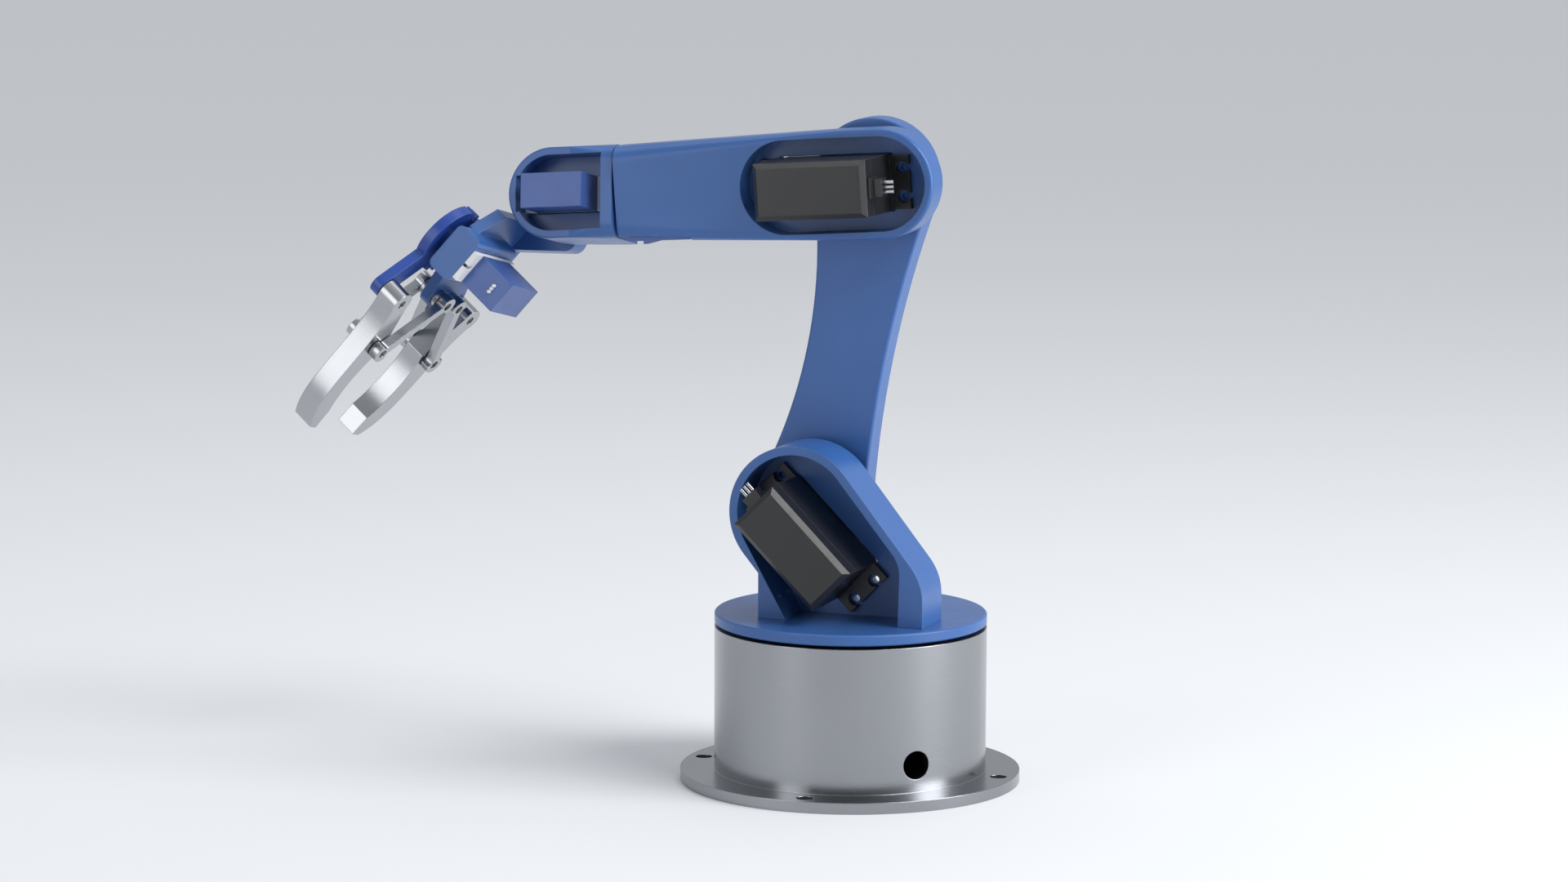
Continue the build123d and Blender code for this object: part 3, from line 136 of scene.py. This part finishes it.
def mix(tree, factor, first, second):
    node = tree.nodes.new("ShaderNodeMix")
    node.data_type = "RGBA"
    tree.links.new(factor, node.inputs["Factor"])
    for socket, value in ((node.inputs[6], first), (node.inputs[7], second)):
        if isinstance(value, tuple):
            socket.default_value = (*value, 1.0)
        else:
            tree.links.new(value, socket)
    return node.outputs[2]


def bump(tree, height, distance, normal):
    node = tree.nodes.new("ShaderNodeBump")
    node.inputs["Distance"].default_value = distance
    tree.links.new(height, node.inputs["Height"])
    tree.links.new(normal, node.inputs["Normal"])
    return node.outputs["Normal"]


def stretched(tree, vector, axes, scales):
    """Coordinates along three axes, each with its own scale, for a grain that runs one way."""
    parts = tree.nodes.new("ShaderNodeCombineXYZ")
    for socket, axis, scale in zip(parts.inputs, axes, scales):
        dot = tree.nodes.new("ShaderNodeVectorMath")
        dot.operation = "DOT_PRODUCT"
        tree.links.new(vector, dot.inputs[0])
        dot.inputs[1].default_value = tuple(c * scale for c in axis)
        tree.links.new(dot.outputs["Value"], socket)
    return parts.outputs["Vector"]


def turned(tree, vector, scale):
    """Coordinates that change only with height and distance from the waist axis."""
    split = tree.nodes.new("ShaderNodeSeparateXYZ")
    tree.links.new(vector, split.inputs[0])
    square = math_node(tree, "MULTIPLY", split.outputs["X"], split.outputs["X"])
    other = math_node(tree, "MULTIPLY", split.outputs["Y"], split.outputs["Y"])
    radius = math_node(tree, "SQRT", math_node(tree, "ADD", square, other))
    joined = tree.nodes.new("ShaderNodeCombineXYZ")
    tree.links.new(math_node(tree, "MULTIPLY", radius, scale), joined.inputs["X"])
    tree.links.new(math_node(tree, "MULTIPLY", split.outputs["Z"], scale), joined.inputs["Z"])
    return joined.outputs["Vector"]


# Materials
def satin_colour(name, colour, edge_highlight, roughness, grain=1800.0, depth=0.00002):
    """Satin anodised or painted metal: a soft bloom, a fine grain and edges painted paler as a
    highlight.
    """
    mat, tree, shader = new_material(name)
    at = place(tree)
    cloud = noise(tree, at, 22.0, 3.0)
    deep = tuple(c * 0.94 for c in colour)
    pale = tuple(min(1.0, c * 1.05) for c in colour)
    base = mix(tree, spread(tree, cloud, 0.0, 1.0), deep, pale)
    soft = rounded(tree, PAINT_EDGE)
    # Patches of the rounded edges take the paler edge colour: a painted highlight, broken up by
    # noise.
    patches = spread(tree, noise(tree, at, 260.0), 0.35, 0.8)
    patchy_edge_highlight = math_node(tree, "MULTIPLY", edge_mask(tree, soft, EDGE_GAIN), patches)
    base = mix(tree, patchy_edge_highlight, base, edge_highlight)
    tree.links.new(base, shader.inputs["Base Color"])
    rough = spread(tree, noise(tree, at, 60.0, 4.0), roughness - 0.03, roughness + 0.03)
    tree.links.new(rough, shader.inputs["Roughness"])
    tree.links.new(bump(tree, noise(tree, at, grain, 2.0), depth, soft), shader.inputs["Normal"])
    return mat


def brushed(name, colour, grain_vector, roughness, depth, shade):
    """Metal with a fine one-way grain. shade darkens the grain's low lines."""
    mat, tree, shader = new_material(name)
    at = place(tree)
    grain = noise(tree, grain_vector(tree, at), 1.0, 3.0, 0.6)
    dark = tuple(c * shade for c in colour)
    base = mix(tree, spread(tree, grain, 0.0, 1.0), dark, colour)
    soft = rounded(tree, METAL_EDGE)
    # The edges take a brighter base colour: a painted highlight along the rounded edges.
    edge_highlight_colour = tuple(min(1.0, c * 1.12) for c in colour)
    painted_edge_highlight = math_node(tree, "MULTIPLY", edge_mask(tree, soft, EDGE_GAIN), 0.6)
    base = mix(tree, painted_edge_highlight, base, edge_highlight_colour)
    tree.links.new(base, shader.inputs["Base Color"])
    fine = math_node(tree, "MULTIPLY", grain, 0.6)
    cloud = math_node(tree, "MULTIPLY", noise(tree, at, 35.0, 3.0), 0.4)
    both = math_node(tree, "ADD", fine, cloud)
    rough = spread(tree, both, roughness - 0.04, roughness + 0.05)
    tree.links.new(rough, shader.inputs["Roughness"])
    tree.links.new(bump(tree, grain, depth, soft), shader.inputs["Normal"])
    shader.inputs["Metallic"].default_value = 1.0
    return mat


def moulded(name, colour, edge_highlight, roughness, grain=2200.0, depth=0.00002):
    """Moulded plastic with a spark-eroded grain and edges painted paler as a highlight."""
    mat, tree, shader = new_material(name)
    at = place(tree)
    cloud = noise(tree, at, 90.0, 3.0)
    deep = tuple(c * 0.9 for c in colour)
    base = mix(tree, spread(tree, cloud, 0.0, 1.0), deep, colour)
    soft = rounded(tree, PLASTIC_EDGE)
    # The edges take the paler edge colour: a painted highlight along the rounded edges.
    painted_edge_highlight = math_node(tree, "MULTIPLY", edge_mask(tree, soft, EDGE_GAIN), 0.55)
    base = mix(tree, painted_edge_highlight, base, edge_highlight)
    tree.links.new(base, shader.inputs["Base Color"])
    rough = spread(tree, noise(tree, at, 240.0, 3.0), roughness - 0.02, roughness + 0.03)
    tree.links.new(rough, shader.inputs["Roughness"])
    texture = noise(tree, at, grain, 3.0, 0.6)
    tree.links.new(bump(tree, texture, depth, soft), shader.inputs["Normal"])
    return mat


# Directions of the gripper: along its hinges, across the fingers and forwards
drop = math.radians(FOREARM_DROP)
roll = math.radians(WRIST_ROLL)
pitch = math.radians(WRIST_PITCH)
back_dir = Vector((math.cos(drop), 0.0, math.sin(drop)))
near_dir = Vector((0.0, -1.0, 0.0))
up_dir = near_dir.cross(back_dir)
pitch_dir = near_dir * math.cos(roll) + up_dir * math.sin(roll)
wrist_up = pitch_dir.cross(back_dir)
forward_dir = -back_dir * math.cos(pitch) - wrist_up * math.sin(pitch)
hinge_dir = pitch_dir.cross(forward_dir)


def along_drum(tree, at):
    return turned(tree, at, TURNED_GRAIN)


def along_grip(tree, at):
    directions = (pitch_dir, forward_dir, hinge_dir)
    return stretched(tree, at, directions, (CROSS_GRAIN, LONG_GRAIN, CROSS_GRAIN))


def all_ways(tree, at):
    return stretched(tree, at, ((1, 0, 0), (0, 1, 0), (0, 0, 1)), (STEEL_GRAIN,) * 3)


# Each edge colour below is painted onto the rounded edges as a highlight.
by_slot = {
    "brushed_aluminium": brushed(
        "grip_aluminium",
        (0.44, 0.45, 0.47),
        along_grip,
        roughness=0.24,
        depth=0.000004,
        shade=0.97,
    ),
    "bright_steel": brushed(
        "bright_steel",
        (0.48, 0.48, 0.49),
        all_ways,
        roughness=0.22,
        depth=0.000005,
        shade=0.93,
    ),
    "blue_frame": satin_colour(
        "blue_frame", (0.034, 0.112, 0.335), edge_highlight=(0.22, 0.34, 0.62), roughness=0.34
    ),
    "blue_gear": satin_colour(
        "blue_gear", (0.018, 0.058, 0.29), edge_highlight=(0.15, 0.26, 0.58), roughness=0.30
    ),
    "black_plastic": moulded(
        "black_plastic",
        (0.015, 0.015, 0.016),
        edge_highlight=(0.11, 0.11, 0.115),
        roughness=0.30,
        grain=2600.0,
        depth=0.000005,
    ),
    "blue_plastic": moulded(
        "blue_plastic", (0.050, 0.105, 0.33), edge_highlight=(0.20, 0.32, 0.62), roughness=0.32
    ),
    "white_plastic": moulded(
        "white_plastic", (0.78, 0.79, 0.80), edge_highlight=(0.90, 0.90, 0.90), roughness=0.42
    ),
}
by_node = {
    "base_housing": brushed(
        "turned_aluminium",
        (0.34, 0.35, 0.37),
        along_drum,
        roughness=0.24,
        depth=0.000003,
        shade=0.97,
    ),
    "roll_servo_ear_plate": by_slot["blue_plastic"],
    "pedestal_screws": by_slot["blue_frame"],
}
for part in frame["record"]["subparts"]:
    item = nodes[part["node"]]
    material = by_node.get(part["node"], by_slot[part["material_slot"]])
    item.data.materials.clear()
    item.data.materials.append(material)

# Floor, light and camera
floor_mesh = bpy.data.meshes.new("floor")
signs = ((-1, -1), (1, -1), (1, 1), (-1, 1))
floor_corners = [(x * FLOOR_HALF, y * FLOOR_HALF, 0.0) for x, y in signs]
floor_mesh.from_pydata(floor_corners, [], [(0, 1, 2, 3)])
floor = bpy.data.objects.new("floor", floor_mesh)
bpy.context.scene.collection.objects.link(floor)
floor_material, tree, shader = new_material("floor_material")
shader.inputs["Base Color"].default_value = FLOOR_COLOUR
shader.inputs["Roughness"].default_value = FLOOR_ROUGHNESS
shader.inputs["Specular IOR Level"].default_value = FLOOR_GLOSS
floor_mesh.materials.append(floor_material)

world = bpy.data.worlds.new("studio")
bpy.context.scene.world = world
world.use_nodes = True
tree = world.node_tree
tree.nodes.clear()
direction = tree.nodes.new("ShaderNodeTexCoord").outputs["Generated"]
tilt = tree.nodes.new("ShaderNodeVectorMath")
tilt.operation = "DOT_PRODUCT"
tree.links.new(direction, tilt.inputs[0])
tilt.inputs[1].default_value = SKY_UP
ramp = tree.nodes.new("ShaderNodeMapRange")
ramp.inputs["From Min"].default_value = SKY_RANGE[0]
ramp.inputs["From Max"].default_value = SKY_RANGE[1]
ramp.inputs["To Min"].default_value = SKY_STRENGTH[0]
ramp.inputs["To Max"].default_value = SKY_STRENGTH[1]
ramp.interpolation_type = "SMOOTHSTEP"
tree.links.new(tilt.outputs["Value"], ramp.inputs["Value"])
background = tree.nodes.new("ShaderNodeBackground")
background.inputs["Color"].default_value = SKY_COLOUR
tree.links.new(ramp.outputs["Result"], background.inputs["Strength"])
output = tree.nodes.new("ShaderNodeOutputWorld")
tree.links.new(background.outputs["Background"], output.inputs["Surface"])


def add_lamp(data, position):
    """Puts a lamp at a place, turned towards the middle of the part."""
    item = bpy.data.objects.new(data.name, data)
    item.location = position
    item.visible_camera = False
    item.rotation_mode = "QUATERNION"
    item.rotation_quaternion = (Vector(LIT_POINT) - item.location).to_track_quat("-Z", "Y")
    bpy.context.scene.collection.objects.link(item)


def sun(name, position, power, angle):
    data = bpy.data.lights.new(name, "SUN")
    data.energy = power
    data.angle = math.radians(angle)
    add_lamp(data, position)


def panel(name, position, power, width, height):
    data = bpy.data.lights.new(name, "AREA")
    data.energy = power
    data.shape = "RECTANGLE"
    data.size = width
    data.size_y = height
    add_lamp(data, position)


sun("key_sun", (1.2, -0.5, 1.5), power=1.0, angle=24)
panel("right_panel", (1.14, 0.0, 0.60), power=15.0, width=0.6, height=1.2)
panel("left_panel", (-0.72, -1.22, 0.46), power=4.0, width=0.6, height=1.0)
panel("top_panel", (-0.2, 0.2, 1.3), power=3.0, width=1.0, height=0.7)

azimuth = math.radians(CAMERA_AZIMUTH)
elevation = math.radians(CAMERA_ELEVATION)
camera_roll = math.radians(CAMERA_ROLL)
level = math.cos(elevation)
back = Vector((math.sin(azimuth) * level, -math.cos(azimuth) * level, math.sin(elevation)))
camera_data = bpy.data.cameras.new("camera")
camera_data.sensor_width = CAMERA_SENSOR
camera_data.lens = CAMERA_LENS
camera_data.clip_start, camera_data.clip_end = CAMERA_CLIP
camera = bpy.data.objects.new("camera", camera_data)
camera.location = Vector(CAMERA_TARGET) + back * CAMERA_DISTANCE
right = Vector((math.cos(azimuth), math.sin(azimuth), 0.0))
up = back.cross(right)
rolled_right = right * math.cos(camera_roll) + up * math.sin(camera_roll)
rolled_up = up * math.cos(camera_roll) - right * math.sin(camera_roll)
camera.rotation_mode = "QUATERNION"
turn = Matrix.Identity(3)
turn.col[0] = rolled_right
turn.col[1] = rolled_up
turn.col[2] = back
camera.rotation_quaternion = turn.to_quaternion()
bpy.context.scene.collection.objects.link(camera)
bpy.context.scene.camera = camera
bpy.context.scene.view_settings.view_transform = "Standard"

bpy.context.view_layer.update()
